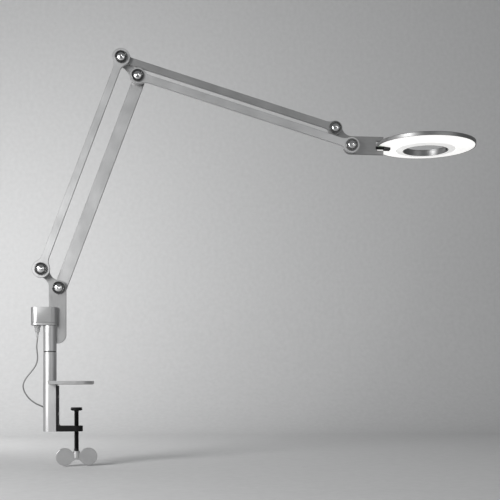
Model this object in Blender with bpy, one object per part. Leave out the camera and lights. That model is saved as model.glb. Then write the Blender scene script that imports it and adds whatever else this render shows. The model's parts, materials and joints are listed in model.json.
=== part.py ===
"""Architect desk lamp: a desk clamp, a swivelling post, two self-levelling parallel arms and a ring light.

Units are metres and +Z is up. The origin is the middle of the clamp's seat on the desk top, on the
clamp screw's axis. +X points over the desk towards the light and +Y points to the lamp's back.
"""

from math import acos, atan2, cos, hypot, pi, radians, sin, sqrt

import bmesh
import bpy
from mathutils import Matrix, Vector

MM = 0.001
FIT = 0.3 * MM  # gap between two pieces that touch or are pressed together
RUN = 0.2 * MM  # gap each side of a washer

# Clamp
THROAT = 52 * MM  # screw axis to post axis
DESK_THICKNESS = 45.5 * MM
JAW_WIDTH = 69 * MM
JAW_THICKNESS = 6 * MM
JAW_PAD_THICKNESS = 1 * MM
JAW_PAD_INSET = 2 * MM
SPINE_R = 13.2 * MM
SPINE_REACH = 13.5 * MM  # post axis to the spine's inner flat
SPINE_DEPTH = 93 * MM
LEG_THICKNESS = 2.8 * MM
FOOT_WIDTH = 25 * MM
FOOT_THICKNESS = 11 * MM
SCREW_R = 4.7 * MM
SCREW_END_R = 3 * MM
SCREW_CLEARANCE = 0.25 * MM
PAD_R = 11.5 * MM
PAD_THICKNESS = 5 * MM
PAD_RUBBER = 1.5 * MM
HANDLE_DROP = 143.5 * MM  # seat to the middle of the handle
HANDLE_SPREAD = 46.5 * MM
HANDLE_LOBE_R = 17.4 * MM
HANDLE_WAIST = 12 * MM
HANDLE_FILLET_R = 11.5 * MM
HANDLE_THICKNESS = 9 * MM
HANDLE_AT_REST = radians(12)  # the handle's turn
HANDLE_HUB_R = 6.5 * MM
HANDLE_HUB_RISE = 11 * MM
LEG_SCREW_R = 2 * MM
LEG_SCREW_HEAD_R = 3.8 * MM
LEG_SCREW_DEPTH = 9 * MM
LEG_SCREW_DROPS = (24 * MM, 58 * MM)

# Post and swivel
POST_R = 13 * MM
SEAM_HEIGHT = 64.2 * MM  # seat to the swivel seam
SEAM_GAP = 1.5 * MM
SPINDLE_R = 6 * MM
SPINDLE_DEPTH = 19 * MM
SPINDLE_RISE = 13 * MM
BUSH_WALL = 1.3 * MM
BUSH_FLANGE_R = 12.5 * MM

# Driver housing
HOUSING_HEIGHT = 117 * MM  # seat to the underside
HOUSING_RISE = 35.8 * MM
HOUSING_LEFT = 36.5 * MM  # post axis to the rounded end
HOUSING_RIGHT = 16 * MM
HOUSING_DEPTH = 30 * MM
HOUSING_CORNER_R = 13 * MM
HOUSING_WALL = 2 * MM
BASE_THICKNESS = 4.8 * MM
NECK_R = 10.5 * MM  # post inside the housing
INLET_REACH = 24.6 * MM  # post axis to the inlet's axis
INLET_HOLE_R = 4 * MM
SOCKET_R = 5.5 * MM
SOCKET_BORE_R = 2.9 * MM
SOCKET_HEIGHT = 7 * MM
BOARD_THICKNESS = 1.6 * MM

# Plates, arms and rods
PLATE = 5 * MM
LAYER_GAP = 1.2 * MM
ARM_LENGTH = 450 * MM  # pivot to pivot
LOWER_LEAN = radians(20.35)  # from upright
UPPER_DROP = radians(16.4)  # below level
LINK_LENGTH = 48.4 * MM
LINK_ANGLE = radians(132.5)  # rod pivot seen from the main pivot
LINK_BOSS_R = 15 * MM
LINK_FILLET_R = 20 * MM
BRACKET_REACH = 17 * MM  # post axis to the shoulder pivot
BRACKET_LEFT = 19 * MM  # shoulder pivot to the bracket's left edge
BRACKET_RIGHT = 15 * MM
BRACKET_PIVOT_HEIGHT = 192 * MM
BRACKET_FOOT_HEIGHT = 81.3 * MM
LOWER_ARM_WIDTH = 24.6 * MM
LOWER_ARM_OFFSET = 2.5 * MM  # pivot line to the lower arm's middle
UPPER_ARM_WIDTH = 16 * MM
UPPER_ARM_BOSS_R = 16.5 * MM
ROD_WIDTH = 14.6 * MM
LOWER_ROD_BOSS_R = 17.7 * MM
UPPER_ROD_BOSS_R = 14.5 * MM
ELBOW_WAIST = 16 * MM
ARM_FILLET_R = 22 * MM
EDGE_BREAK = 0.5 * MM

# Pivots
PIN_R = 4 * MM
PIVOT_CLEARANCE = 0.3 * MM
PIN_HEAD_R = 9.5 * MM
PIN_HEAD_THICKNESS = 3.4 * MM
CAP_R = 12.4 * MM
CAP_DOME_R = 8.2 * MM
CAP_HEIGHT = 6 * MM
CAP_RIM = 2.6 * MM
CAP_BORE_DEPTH = 3.6 * MM
WASHER_R = 9 * MM

# Bracket screws through the post
BRACKET_SCREW_R = 2 * MM
BRACKET_SCREW_HEAD_R = 3.6 * MM
BRACKET_SCREW_HEIGHTS = (94 * MM, 108 * MM)
BRACKET_SCREW_REACH = 4 * MM  # post axis to the screws

# Light head
NECK_ABOVE = 21.2 * MM  # head pivot to the neck's top edge
NECK_BELOW = 15.7 * MM
NECK_LENGTH = 52.4 * MM  # head pivot to the bottom of the neck's fork
FORK_LENGTH = 16 * MM
FORK_ABOVE = 13.6 * MM  # roll axis to the fork's upper prong
FORK_BELOW = 5.4 * MM
ROLL_DROP = 1.4 * MM  # head pivot to the roll axis
ROLL_AT_REST = radians(2)  # the head hangs a little towards the front
HEAD_R = 101.5 * MM
HEAD_REACH = 157.2 * MM  # head pivot to the ring's centre
HEAD_HOLE_R = 44.6 * MM
HEAD_RIM = 7.7 * MM
HEAD_SINK = 2.2 * MM  # how far the top falls from the rim to the hole
HEAD_RISE = 3.7 * MM  # roll axis to the rim's underside
HEAD_SKIN = 2 * MM
HEAD_WALL = 1.8 * MM
HEAD_DISH = 7.5 * MM  # how far the cone's inner edge hangs below the rim
COLLAR_WALL = 1.5 * MM
SEAM_R = 61.5 * MM
LED_BOARD_INNER_R = 54 * MM
ROLL_PIN_R = 3.2 * MM
ROLL_TANG_R = 1.7 * MM
ROLL_TANG_LENGTH = 10 * MM
BLOCK_LENGTH = 13 * MM
BLOCK_WIDTH = 11 * MM
BLOCK_WALL = 1.3 * MM
BLOCK_GAP = 1 * MM  # fork's end to the pivot block
BUTTON_R = 3 * MM
BUTTON_PROUD = 1.6 * MM
BUTTON_LENGTH = 6 * MM

# Supply cord
CORD_R = 1.4 * MM
PLUG_R = 6.4 * MM
PLUG_LENGTH = 12.8 * MM
PLUG_BARREL_R = 2.6 * MM
PLUG_BARREL_LENGTH = 8.5 * MM
BOOT_TOP_R = 3.4 * MM
BOOT_END_R = 1.9 * MM
BOOT_LENGTH = 11 * MM
COIL_R = 15.5 * MM  # middle of the turns
COIL_BUNDLE_R = 6.5 * MM
COIL_DISTANCE = 37.8 * MM  # post axis to the coil's axis
COIL_HEIGHT = -31 * MM
COIL_TURN = radians(8.4)  # the coil's plane, seen from above
TIE_HEIGHT = 5 * MM
TIE_WALL = 1.1 * MM
TAIL_OUT = -6.5 * MM  # coil's axis to the hanging connector, away from the post
TAIL_SIDE = 6.5 * MM  # coil's middle plane to the connector
TAIL_DROP = 29 * MM  # coil's axis to the connector's boot
CONNECTOR_R = 4.5 * MM
CONNECTOR_LENGTH = 31 * MM

# The cord's free route from the boot to the coil: along +X from the post axis, back and up.
CORD_ROUTE = (
    (-24.6, 0.0, 92.2),
    (-24.8, 0.0, 88.0),
    (-25.6, 0.2, 82.0),
    (-26.1, 0.6, 75.0),
    (-25.4, 1.0, 66.0),
    (-24.6, 1.6, 56.0),
    (-25.6, 2.6, 46.0),
    (-29.6, 3.6, 36.0),
    (-37.6, 4.8, 25.0),
    (-46.6, 6.0, 14.0),
    (-52.6, 7.2, 3.0),
    (-53.6, 8.6, -7.0),
    (-49.6, 10.4, -18.0),
    (-41.6, 12.4, -29.0),
    (-31.0, 15.0, -37.5),
    (-21.8, 18.4, -42.2),
    (-16.4, 22.2, -45.2),
    (-13.9, 27.2, -47.6),
    (-13.1, 33.0, -49.1),
)
CORD_SPACING = 6.5 * MM

POST_X = -THROAT
PITCH = PLATE + LAYER_GAP
LAYER = {1: -2 * PITCH, 2: -PITCH, 3: 0.0, 4: PITCH}  # middle of each plate layer, front to back
BORE_R = PIN_R + PIVOT_CLEARANCE
LINK = Vector((LINK_LENGTH * cos(LINK_ANGLE), 0, LINK_LENGTH * sin(LINK_ANGLE)))


# ---------------------------------------------------------------- tools


def clear_scene():
    for item in list(bpy.data.objects):
        bpy.data.objects.remove(item, do_unlink=True)


def material(name, colour, metallic, roughness):
    made = bpy.data.materials.new(name)
    made.use_nodes = True
    shader = made.node_tree.nodes["Principled BSDF"]
    shader.inputs["Base Color"].default_value = (*colour, 1)
    shader.inputs["Metallic"].default_value = metallic
    shader.inputs["Roughness"].default_value = roughness
    made.diffuse_color = (*colour, 1)
    return made


FINISHES = {
    "satin": ((0.72, 0.72, 0.71), 1.0, 0.35),
    "chrome": ((0.85, 0.85, 0.86), 1.0, 0.08),
    "steel": ((0.55, 0.55, 0.56), 1.0, 0.3),
    "black": ((0.02, 0.02, 0.02), 0.0, 0.45),
    "rubber": ((0.03, 0.03, 0.03), 0.0, 0.8),
    "nylon": ((0.75, 0.75, 0.73), 0.0, 0.5),
    "clear": ((0.8, 0.82, 0.82), 0.0, 0.2),
    "board": ((0.05, 0.2, 0.1), 0.0, 0.5),
    "diffuser": ((0.95, 0.95, 0.93), 0.0, 0.3),
    "cord": ((0.35, 0.35, 0.35), 0.0, 0.5),
}


def empty(name, parent, location=(0, 0, 0), turn=(0, 0, 0)):
    made = bpy.data.objects.new(name, None)
    made.empty_display_size = 0.02
    made.location = location
    made.rotation_euler = turn
    made.parent = parent
    bpy.context.scene.collection.objects.link(made)
    return made


def finish_mesh(bm, name, finish, parent, location=(0, 0, 0), turn=(0, 0, 0)):
    """Turns a bmesh into an object with its own material, its faces pointing out and its curves smooth."""
    bmesh.ops.recalc_face_normals(bm, faces=bm.faces)
    mesh = bpy.data.meshes.new(name)
    bm.to_mesh(mesh)
    bm.free()
    mesh.shade_smooth()
    mesh.set_sharp_from_angle(angle=radians(35))
    mesh.materials.append(material(name, *FINISHES[finish]))
    made = bpy.data.objects.new(name, mesh)
    made.location = location
    made.rotation_euler = turn
    made.parent = parent
    bpy.context.scene.collection.objects.link(made)
    return made


def arc(centre, radius, start, end, step=radians(15)):
    """Points of an arc, both ends included."""
    count = max(1, round(abs(end - start) / step))
    points = []
    for i in range(count + 1):
        angle = start + (end - start) * i / count
        points.append((centre[0] + radius * cos(angle), centre[1] + radius * sin(angle)))
    return points


def circle(centre, radius, count=16):
    return [
        (centre[0] + radius * cos(2 * pi * i / count), centre[1] + radius * sin(2 * pi * i / count))
        for i in range(count)
    ]


def tidy_loop(points):
    """The loop without points that lie on the one before them."""
    kept = []
    for point in points:
        if not kept or hypot(point[0] - kept[-1][0], point[1] - kept[-1][1]) > 1e-6:
            kept.append(point)
    if hypot(kept[0][0] - kept[-1][0], kept[0][1] - kept[-1][1]) <= 1e-6:
        kept.pop()
    return kept


def rounded_box(left, right, low, high, radius):
    points = arc((right - radius, high - radius), radius, 0, pi / 2)
    points += arc((left + radius, high - radius), radius, pi / 2, pi)
    points += arc((left + radius, low + radius), radius, pi, 3 * pi / 2)
    points += arc((right - radius, low + radius), radius, 3 * pi / 2, 2 * pi)
    return points


PLANES = {
    "XY": lambda u, v, w: (u, v, w),
    "XZ": lambda u, v, w: (u, w, v),
    "YZ": lambda u, v, w: (w, u, v),
}


def prism_mesh(loops, low, high, plane):
    """A bmesh of the outline, less its holes, from low to high along the plane's normal."""
    bm = bmesh.new()
    place = PLANES[plane]
    for loop in loops:
        verts = [bm.verts.new(place(u, v, low)) for u, v in tidy_loop(loop)]
        for first, second in zip(verts, verts[1:] + verts[:1]):
            bm.edges.new((first, second))
    bmesh.ops.triangle_fill(bm, use_beauty=True, use_dissolve=False, edges=bm.edges)
    grown = bmesh.ops.extrude_face_region(bm, geom=bm.faces[:])
    moved = [item for item in grown["geom"] if isinstance(item, bmesh.types.BMVert)]
    shift = Vector(place(0, 0, high)) - Vector(place(0, 0, low))
    bmesh.ops.translate(bm, verts=moved, vec=shift)
    return bm


def prism(name, loops, low, high, plane, finish, parent, location=(0, 0, 0), edge=0.0, turn=(0, 0, 0)):
    made = finish_mesh(prism_mesh(loops, low, high, plane), name, finish, parent, location, turn)
    if edge:
        break_edges(made, edge)
    return made


def break_edges(made, width, segments=1, angle=radians(60)):
    bevel = made.modifiers.new("edge_break", "BEVEL")
    bevel.width = width
    bevel.segments = segments
    bevel.limit_method = "ANGLE"
    bevel.angle_limit = angle
    return bevel


AXES = {
    "Z": Matrix.Identity(4),
    "Y": Matrix.Rotation(-pi / 2, 4, "X"),
    "X": Matrix.Rotation(pi / 2, 4, "Y"),
}


def lathe(name, profile, finish, parent, location=(0, 0, 0), axis="Z", steps=32, turn=(0, 0, 0)):
    """Spins (radius, height) points round the axis. A profile that keeps off the axis is a closed ring."""
    bm = bmesh.new()
    verts = [bm.verts.new((r, 0, h)) for r, h in profile]
    edges = [bm.edges.new(pair) for pair in zip(verts, verts[1:])]
    if profile[0][0] > 0:
        edges.append(bm.edges.new((verts[-1], verts[0])))
    full = {"cent": (0, 0, 0), "axis": (0, 0, 1), "angle": 2 * pi, "steps": steps}
    bmesh.ops.spin(bm, geom=verts + edges, **full)
    bmesh.ops.remove_doubles(bm, verts=bm.verts, dist=1e-6)
    bmesh.ops.transform(bm, matrix=AXES[axis], verts=bm.verts)
    return finish_mesh(bm, name, finish, parent, location, turn)


def block(name, low, high, finish, parent, edge=0.0):
    """A box between two corners."""
    loop = [(low[0], low[1]), (high[0], low[1]), (high[0], high[1]), (low[0], high[1])]
    return prism(name, [loop], low[2], high[2], "XY", finish, parent, edge=edge)


def hide(cutter):
    cutter.hide_render = True
    cutter.display_type = "WIRE"
    return cutter


def cut(made, cutter, operation="DIFFERENCE"):
    hide(cutter)
    boolean = made.modifiers.new(cutter.name, "BOOLEAN")
    boolean.operation = operation
    boolean.solver = "EXACT"
    boolean.object = cutter


def rod(radius, low, high):
    """The lathe profile of a plain cylinder."""
    return [(0, high), (radius, high), (radius, low), (0, low)]


# ---------------------------------------------------------------- outlines


def flare(boss_r, half, fillet):
    """Reach and angle of a fillet that joins a boss to a bar of the given half width."""
    if boss_r <= half:
        return 0.0, pi / 2
    reach = sqrt((boss_r + fillet) ** 2 - (half + fillet) ** 2)
    return reach, atan2(half + fillet, reach)


def bar_outline(length, start_r, end_r, width, fillet):
    """A bar along +u from a boss at the origin to a boss at length, with filleted necks."""
    half = width / 2
    start_r = max(start_r, half)
    end_r = max(end_r, half)
    near, near_angle = flare(start_r, half, fillet)
    far, far_angle = flare(end_r, half, fillet)
    rise = half + fillet
    fine = radians(10)
    points = arc((0, 0), start_r, near_angle, 2 * pi - near_angle)
    if start_r > half:
        points += arc((near, -rise), fillet, pi - near_angle, pi / 2, fine)
    if end_r > half:
        points += arc((length - far, -rise), fillet, pi / 2, far_angle, fine)
    points += arc((length, 0), end_r, far_angle - pi, pi - far_angle)
    if end_r > half:
        points += arc((length - far, rise), fillet, -far_angle, -pi / 2, fine)
    if start_r > half:
        points += arc((near, rise), fillet, -pi / 2, near_angle - pi, fine)
    return points


def branch_outline(branch, hub_r, upper, branch_r, fillet, bar_end):
    """A bar along +u, hub_r below and upper above its pivot, with a filleted branch to a second boss."""
    px, py = branch
    fine = radians(10)
    # Fillet between the bar's upper edge and the branch's boss.
    rise = upper + fillet
    first = (px + sqrt((branch_r + fillet) ** 2 - (rise - py) ** 2), rise)
    # Fillet between the hub and the branch's boss, on the far side.
    span = hypot(px, py)
    inner = hub_r + fillet
    outer = branch_r + fillet
    spread = acos((inner**2 + span**2 - outer**2) / (2 * inner * span))
    aim = atan2(py, px) + spread
    second = ((hub_r + fillet) * cos(aim), (hub_r + fillet) * sin(aim))
    to_first = atan2(first[1] - py, first[0] - px)
    to_second = atan2(second[1] - py, second[0] - px)
    points = bar_end + arc(first, fillet, -pi / 2, to_first - pi, fine)
    points += arc((px, py), branch_r, to_first, to_second + 2 * pi if to_second < to_first else to_second)
    points += arc(second, fillet, to_second + pi - 2 * pi * (to_second > 0), aim - pi, fine)
    points += arc((0, 0), hub_r, aim, 3 * pi / 2)
    return points


# ---------------------------------------------------------------- clamp


def make_clamp(base):
    """The post's fixed lower half with its spine, both jaws, and the fasteners of the lower one."""
    spine_loop = arc((POST_X, 0), SPINE_R, pi / 2, 3 * pi / 2, radians(7.5))
    spine_loop += [(POST_X + SPINE_REACH, -SPINE_R), (POST_X + SPINE_REACH, SPINE_R)]
    jaw_top = JAW_PAD_THICKNESS + JAW_THICKNESS
    body = prism("clamp_body", [spine_loop], -SPINE_DEPTH, jaw_top / 2, "XY", "satin", base, edge=0.6 * MM)
    bore = SPINDLE_R + FIT
    bore_end = SEAM_HEIGHT - SPINDLE_DEPTH - FIT
    low = -SPINE_DEPTH / 2
    profile = [
        (0, bore_end),
        (bore, bore_end),
        (bore, SEAM_HEIGHT),
        (POST_R, SEAM_HEIGHT),
        (POST_R, low),
        (0, low),
    ]
    post = lathe("lower_post_solid", profile, "satin", base, (POST_X, 0, 0), steps=40)
    cut(body, post, "UNION")
    notch = block(
        "jaw_notch",
        (POST_X - FIT, -JAW_WIDTH, JAW_PAD_THICKNESS - FIT),
        (POST_X + JAW_WIDTH, JAW_WIDTH, jaw_top + FIT),
        "satin",
        base,
    )
    cut(body, notch)

    jaw_loop = [(POST_X, JAW_WIDTH / 2), (POST_X, -JAW_WIDTH / 2)]
    jaw_loop += arc((0, 0), JAW_WIDTH / 2, -pi / 2, pi / 2, radians(6))
    prism("top_jaw", [jaw_loop], JAW_PAD_THICKNESS, jaw_top, "XY", "satin", base, edge=0.8 * MM)

    pad_half = JAW_WIDTH / 2 - JAW_PAD_INSET
    pad_back = POST_X + SPINE_REACH + FIT
    pad_loop = [(pad_back, pad_half), (pad_back, -pad_half)]
    pad_loop += arc((0, 0), pad_half, -pi / 2, pi / 2, radians(9))
    prism("jaw_pad", [pad_loop], 0, JAW_PAD_THICKNESS - FIT, "XY", "rubber", base)

    leg_x = POST_X + SPINE_REACH + FIT
    leg_inner = leg_x + LEG_THICKNESS
    foot_top = FOOT_THICKNESS - SPINE_DEPTH
    fillet = 4 * MM
    leg_top = -2 * MM
    profile = [(leg_x, -SPINE_DEPTH), (leg_x, leg_top), (leg_inner, leg_top)]
    profile += arc((leg_inner + fillet, foot_top + fillet), fillet, pi, 3 * pi / 2)
    profile += [(FOOT_WIDTH / 2, foot_top), (FOOT_WIDTH / 2, -SPINE_DEPTH)]
    foot = prism("lower_jaw", [profile], -FOOT_WIDTH / 2, FOOT_WIDTH / 2, "XZ", "black", base)
    nose_loop = [(POST_X, FOOT_WIDTH / 2 + FIT), (POST_X, -FOOT_WIDTH / 2 - FIT)]
    nose_loop += arc((0, 0), FOOT_WIDTH / 2, -pi / 2, pi / 2, radians(9))
    nose = prism("foot_nose", [nose_loop], -SPINE_DEPTH - FIT, FIT, "XY", "black", base)
    cut(foot, nose, "INTERSECT")
    thread = lathe(
        "foot_thread",
        rod(SCREW_R + SCREW_CLEARANCE, -SPINE_DEPTH - FIT, foot_top + FIT),
        "black",
        base,
    )
    cut(foot, thread)

    for number, drop in enumerate(LEG_SCREW_DROPS, 1):
        place = (leg_inner, 0, -drop)
        sink = LEG_SCREW_HEAD_R - LEG_SCREW_R
        lathe(
            f"jaw_screw_{number}",
            [
                (0, 0),
                (LEG_SCREW_HEAD_R, 0),
                (LEG_SCREW_R, -sink),
                (LEG_SCREW_R, -LEG_SCREW_DEPTH),
                (0, -LEG_SCREW_DEPTH),
            ],
            "steel",
            base,
            (place[0] - FIT, place[1], place[2]),
            "X",
            20,
        )
        countersink = lathe(
            f"countersink_{number}",
            [
                (0, FIT),
                (LEG_SCREW_HEAD_R + 2 * FIT, FIT),
                (LEG_SCREW_R + FIT, -sink),
                (LEG_SCREW_R + FIT, -LEG_SCREW_DEPTH - 2 * FIT),
                (0, -LEG_SCREW_DEPTH - 2 * FIT),
            ],
            "steel",
            base,
            place,
            "X",
            20,
        )
        cut(foot, countersink)
        cut(body, countersink)


def make_clamp_screw(base):
    """The swivel pad, which only slides, and the screw with its handle, which turn under it."""
    pad_empty = empty("clamp_pad_axis", base, (0, 0, -DESK_THICKNESS))
    lathe("clamp_pad_rubber", rod(PAD_R - 0.5 * MM, -PAD_RUBBER, 0), "rubber", pad_empty)
    pad_top = -PAD_RUBBER - FIT
    pad_low = -PAD_RUBBER - PAD_THICKNESS
    bore = SCREW_R + SCREW_CLEARANCE
    pocket = pad_top - 2 * MM
    profile = [
        (0, pad_top),
        (PAD_R - 0.8 * MM, pad_top),
        (PAD_R, pad_top - 0.8 * MM),
        (PAD_R, pad_low + 1.5 * MM),
        (PAD_R - 3 * MM, pad_low),
        (bore, pad_low),
        (bore, pocket),
        (0, pocket),
    ]
    lathe("clamp_pad", profile, "black", pad_empty)

    screw_empty = empty("clamp_screw_axis", pad_empty, turn=(0, 0, HANDLE_AT_REST))
    middle = DESK_THICKNESS - HANDLE_DROP
    hub_top = middle + HANDLE_HUB_RISE
    shoulder = middle + HANDLE_WAIST / 2
    tip = middle - HANDLE_WAIST / 4
    profile = [
        (0, pocket - FIT),
        (SCREW_R - 1 * MM, pocket - FIT),
        (SCREW_R, pocket - FIT - 1 * MM),
        (SCREW_R, shoulder),
        (SCREW_END_R, shoulder),
        (SCREW_END_R, tip),
        (0, tip),
    ]
    lathe("clamp_screw", profile, "black", screw_empty, steps=24)

    half = HANDLE_WAIST / 2
    outline = bar_outline(HANDLE_SPREAD, HANDLE_LOBE_R, HANDLE_LOBE_R, HANDLE_WAIST, HANDLE_FILLET_R)
    loop = [(u - HANDLE_SPREAD / 2, v + middle) for u, v in outline]
    thick = HANDLE_THICKNESS / 2
    handle = prism("clamp_handle", [loop], -thick, thick, "XZ", "satin", screw_empty)
    break_edges(handle, 1.8 * MM)
    hub = lathe(
        "handle_hub_solid",
        rod(HANDLE_HUB_R, middle - half / 3, hub_top),
        "satin",
        screw_empty,
        steps=20,
    )
    cut(handle, hub, "UNION")
    socket = lathe(
        "handle_socket",
        [
            (0, hub_top + FIT),
            (SCREW_R + FIT, hub_top + FIT),
            (SCREW_R + FIT, shoulder - FIT),
            (SCREW_END_R + FIT, shoulder - FIT),
            (SCREW_END_R + FIT, tip - FIT),
            (0, tip - FIT),
        ],
        "satin",
        screw_empty,
        steps=20,
    )
    cut(handle, socket)


# ---------------------------------------------------------------- post


def make_post(base, post):
    """The spindle that the lamp swivels on, the bush, and the turning upper post."""
    lathe(
        "swivel_spindle",
        [
            (0, SEAM_GAP + SPINDLE_RISE),
            (SPINDLE_R - 0.8 * MM, SEAM_GAP + SPINDLE_RISE),
            (SPINDLE_R, SEAM_GAP + SPINDLE_RISE - 0.8 * MM),
            (SPINDLE_R, -SPINDLE_DEPTH),
            (0, -SPINDLE_DEPTH),
        ],
        "steel",
        base,
        (POST_X, 0, SEAM_HEIGHT),
    )
    bush_in = SPINDLE_R + FIT
    bush_out = bush_in + BUSH_WALL
    lathe(
        "swivel_bush",
        [
            (bush_in, SPINDLE_RISE),
            (bush_out, SPINDLE_RISE),
            (bush_out, SEAM_GAP - FIT),
            (BUSH_FLANGE_R, SEAM_GAP - FIT),
            (BUSH_FLANGE_R, FIT),
            (bush_in, FIT),
        ],
        "black",
        post,
        (0, 0, SEAM_HEIGHT),
    )
    low = SEAM_HEIGHT + SEAM_GAP
    shoulder = HOUSING_HEIGHT - FIT
    top = HOUSING_HEIGHT + HOUSING_RISE - HOUSING_WALL - 2 * MM
    chamfer = 0.6 * MM
    bore = bush_out + FIT
    bore_end = low + SPINDLE_RISE + FIT
    column = lathe(
        "upper_post",
        [
            (0, top),
            (NECK_R, top),
            (NECK_R, shoulder),
            (POST_R, shoulder),
            (POST_R, low + chamfer),
            (POST_R - chamfer, low),
            (bore, low),
            (bore, bore_end),
            (0, bore_end),
        ],
        "satin",
        post,
        steps=40,
    )
    slot = block(
        "bracket_slot",
        (BRACKET_REACH - BRACKET_LEFT - FIT, -PLATE / 2 - FIT, BRACKET_FOOT_HEIGHT - FIT),
        (2 * POST_R, PLATE / 2 + FIT, top + FIT),
        "satin",
        post,
    )
    cut(column, slot)
    for number, height in enumerate(BRACKET_SCREW_HEIGHTS, 1):
        place = (BRACKET_SCREW_REACH, 0, height)
        back = POST_R - 1 * MM
        front = -PLATE / 2 - 5 * MM
        head = 2.6 * MM
        lathe(
            f"bracket_screw_{number}",
            [
                (0, back),
                (BRACKET_SCREW_HEAD_R, back),
                (BRACKET_SCREW_HEAD_R, back - head),
                (BRACKET_SCREW_R, back - head),
                (BRACKET_SCREW_R, front),
                (0, front),
            ],
            "steel",
            post,
            place,
            "Y",
            16,
        )
        hole = lathe(
            f"bracket_screw_hole_{number}",
            [
                (0, 2 * POST_R),
                (BRACKET_SCREW_HEAD_R + FIT, 2 * POST_R),
                (BRACKET_SCREW_HEAD_R + FIT, back - head - FIT),
                (BRACKET_SCREW_R + FIT, back - head - FIT),
                (BRACKET_SCREW_R + FIT, front - FIT),
                (0, front - FIT),
            ],
            "steel",
            post,
            place,
            "Y",
            16,
        )
        cut(column, hole)


def make_housing(post):
    """The driver's housing round the top of the post, with its base, board and inlet."""
    half = HOUSING_DEPTH / 2
    low = HOUSING_HEIGHT
    seam = low + BASE_THICKNESS
    top = low + HOUSING_RISE
    slot_left = BRACKET_REACH - BRACKET_LEFT - FIT
    slot_half = PLATE / 2 + FIT
    outer = rounded_box(-HOUSING_LEFT, HOUSING_RIGHT, -half, half, HOUSING_CORNER_R)
    wall = HOUSING_WALL
    inner = rounded_box(
        wall - HOUSING_LEFT, HOUSING_RIGHT - wall, wall - half, half - wall, HOUSING_CORNER_R - wall
    )
    shell = prism("driver_housing", [outer], seam + FIT, top, "XY", "satin", post)
    break_edges(shell, 1.2 * MM, segments=2)
    cavity = prism("housing_cavity", [inner], seam - wall, top - wall, "XY", "satin", post)
    cut(shell, cavity)
    slot = block(
        "housing_slot",
        (slot_left, -slot_half, low - wall),
        (2 * HOUSING_RIGHT, slot_half, top + wall),
        "satin",
        post,
    )
    cut(shell, slot)

    base = prism("housing_base", [outer], low, seam, "XY", "satin", post, edge=0.6 * MM)
    neck_hole = lathe("neck_hole", rod(NECK_R + FIT, low - wall, seam + wall), "satin", post, steps=40)
    cut(base, neck_hole)
    cut(base, slot)
    inlet_hole = lathe(
        "inlet_hole",
        rod(INLET_HOLE_R, low - wall, seam + wall),
        "satin",
        post,
        (-INLET_REACH, 0, 0),
        steps=24,
    )
    cut(base, inlet_hole)

    lathe(
        "dc_socket",
        [
            (0, seam + FIT + SOCKET_HEIGHT),
            (SOCKET_R, seam + FIT + SOCKET_HEIGHT),
            (SOCKET_R, seam + FIT),
            (SOCKET_BORE_R, seam + FIT),
            (SOCKET_BORE_R, seam + SOCKET_HEIGHT - 1.5 * MM),
            (0, seam + SOCKET_HEIGHT - 1.5 * MM),
        ],
        "black",
        post,
        (-INLET_REACH, 0, 0),
        steps=24,
    )
    board_low = seam + SOCKET_HEIGHT + 2 * FIT
    board_left = wall - HOUSING_LEFT + 3 * MM
    block(
        "driver_board",
        (board_left, -8 * MM, board_low),
        (-NECK_R - 1.5 * MM, 8 * MM, board_low + BOARD_THICKNESS),
        "board",
        post,
    )


# ---------------------------------------------------------------- arms


def plate(name, loops, layer, parent, turn=0.0):
    """A flat bar in its layer. Its outline lies in the XZ plane, turned about the pivot."""
    place = (0, LAYER[layer], 0)
    half = PLATE / 2
    return prism(name, loops, -half, half, "XZ", "satin", parent, place, EDGE_BREAK, (0, -turn, 0))


def make_bracket(post):
    half = (BRACKET_LEFT + BRACKET_RIGHT) / 2
    length = BRACKET_PIVOT_HEIGHT - BRACKET_FOOT_HEIGHT - half
    middle = (BRACKET_LEFT - BRACKET_RIGHT) / 2
    foot = arc((length, middle), half, -pi / 2, pi / 2)
    branch = (-LINK.z, -LINK.x)
    outline = branch_outline(branch, BRACKET_RIGHT, BRACKET_LEFT, LINK_BOSS_R, LINK_FILLET_R, foot)
    loops = [[(-v, -u) for u, v in outline]]
    loops.append(circle((0, 0), PIN_R + FIT))
    loops.append(circle((LINK.x, LINK.z), PIN_R + FIT))
    for height in BRACKET_SCREW_HEIGHTS:
        hole = (BRACKET_SCREW_REACH - BRACKET_REACH, height - BRACKET_PIVOT_HEIGHT)
        loops.append(circle(hole, BRACKET_SCREW_R + FIT, 12))
    plate("bracket_plate", loops, 3, post)


def make_arm(name, parent, layer, width, boss_r, offset=0.0):
    """A bar along the parent's local X with a pivot bore at each end."""
    outline = bar_outline(ARM_LENGTH, boss_r, boss_r, width, ARM_FILLET_R)
    loops = [[(u, v - offset) for u, v in outline]]
    loops += [circle((0, 0), BORE_R), circle((ARM_LENGTH, 0), BORE_R)]
    plate(name, loops, layer, parent)


def make_elbow_link(parent):
    outline = bar_outline(LINK_LENGTH, LINK_BOSS_R, LINK_BOSS_R, ELBOW_WAIST, LINK_FILLET_R)
    loops = [outline, circle((0, 0), PIN_R + FIT), circle((LINK_LENGTH, 0), PIN_R + FIT)]
    plate("elbow_link", loops, 3, parent, turn=LINK_ANGLE)


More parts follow.
